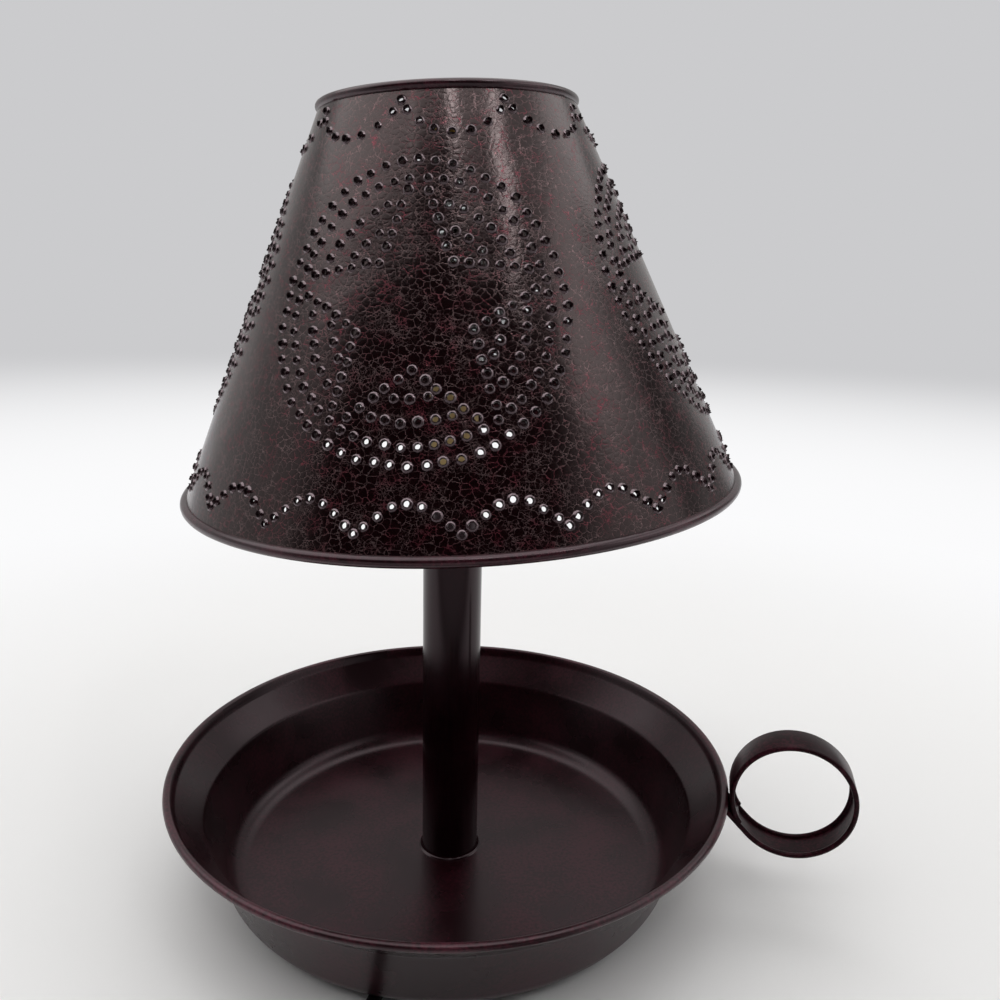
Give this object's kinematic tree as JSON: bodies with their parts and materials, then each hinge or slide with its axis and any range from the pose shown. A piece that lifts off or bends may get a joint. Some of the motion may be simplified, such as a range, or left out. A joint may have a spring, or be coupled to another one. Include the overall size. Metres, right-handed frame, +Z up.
{
  "type": "chamberstick lamp",
  "caption": "Electric chamberstick lamp: flared tin pan with finger ring, candle tube, small screw-base bulb and a punched-tin cone shade that clips on the bulb; flat cord with in-line switch.",
  "frame": {"origin": "on the table, under the middle of the lamp's box without its cord; the candle tube's axis stands 21.8 mm from it in -X", "axes": "+Z up; +X to the side where the finger ring is; +Y away from the side where the cord comes out"},
  "size_m": [0.2936, 0.3775, 0.3331],
  "materials": {
    "lacquered_tin": "dark red and black crackle lacquer, semi-gloss",
    "plated_steel": "plated",
    "brass": "plain",
    "felt": "felt",
    "moulded_socket": "matt",
    "paper_sleeve": "plain",
    "clear_glass": "clear, smooth",
    "cord_plastic": "satin",
    "switch_plastic": "satin gloss"
  },
  "bodies": {
    "base": {"pan": "lacquered_tin", "pan_wire": "plated_steel", "feet": "felt", "finger_ring": "lacquered_tin", "candle_tube": "lacquered_tin", "tube_cap": "lacquered_tin", "nipple": "plated_steel", "lock_nuts": "plated_steel", "socket_bracket": "plated_steel", "socket_rivet": "plated_steel", "socket_body": "moulded_socket", "screw_shell": "brass", "socket_contact": "brass", "paper_sleeve": "paper_sleeve", "inner_cord": "cord_plastic", "cord_clip": "lacquered_tin", "cord_lead": "cord_plastic", "switch_base": "switch_plastic", "switch_cover": "switch_plastic", "switch_pin": "plated_steel", "switch_screw": "plated_steel", "cord_run": "cord_plastic", "cord_coil": "cord_plastic", "coil_tie": "cord_plastic", "plug_body": "switch_plastic", "plug_blades": "brass"},
    "bulb": {"bulb_cap": "brass", "bulb_contact": "plated_steel", "bulb_glass": "clear_glass"},
    "clip": {"bulb_clip": "plated_steel", "clip_stud": "plated_steel", "stud_nut": "brass"},
    "shade": {"shade_cone": "lacquered_tin", "shade_low_wire": "plated_steel", "shade_top_wire": "plated_steel", "shade_spider": "plated_steel"},
    "wheel": {"switch_wheel": "switch_plastic"}
  },
  "joints": [
    {"name": "bulb_turn", "type": "hinge", "parent": "base", "child": "bulb", "pos_m": [-0.0218, 0, 0.2], "axis": [0, 0, 1], "continuous": true},
    {"name": "shade_lift", "type": "slide", "parent": "bulb", "child": "clip", "axis": [0, 0, 1], "range_m": [0, 0.12]},
    {"name": "shade_turn", "type": "hinge", "parent": "clip", "child": "shade", "pos_m": [-0.0218, 0, 0.2598], "axis": [-0.0558, -0.0227, 0.9982], "continuous": true},
    {"name": "wheel_turn", "type": "hinge", "parent": "base", "child": "wheel", "pos_m": [0.0152, -0.141, 0.0055], "axis": [0, 0, 1], "continuous": true}
  ]
}
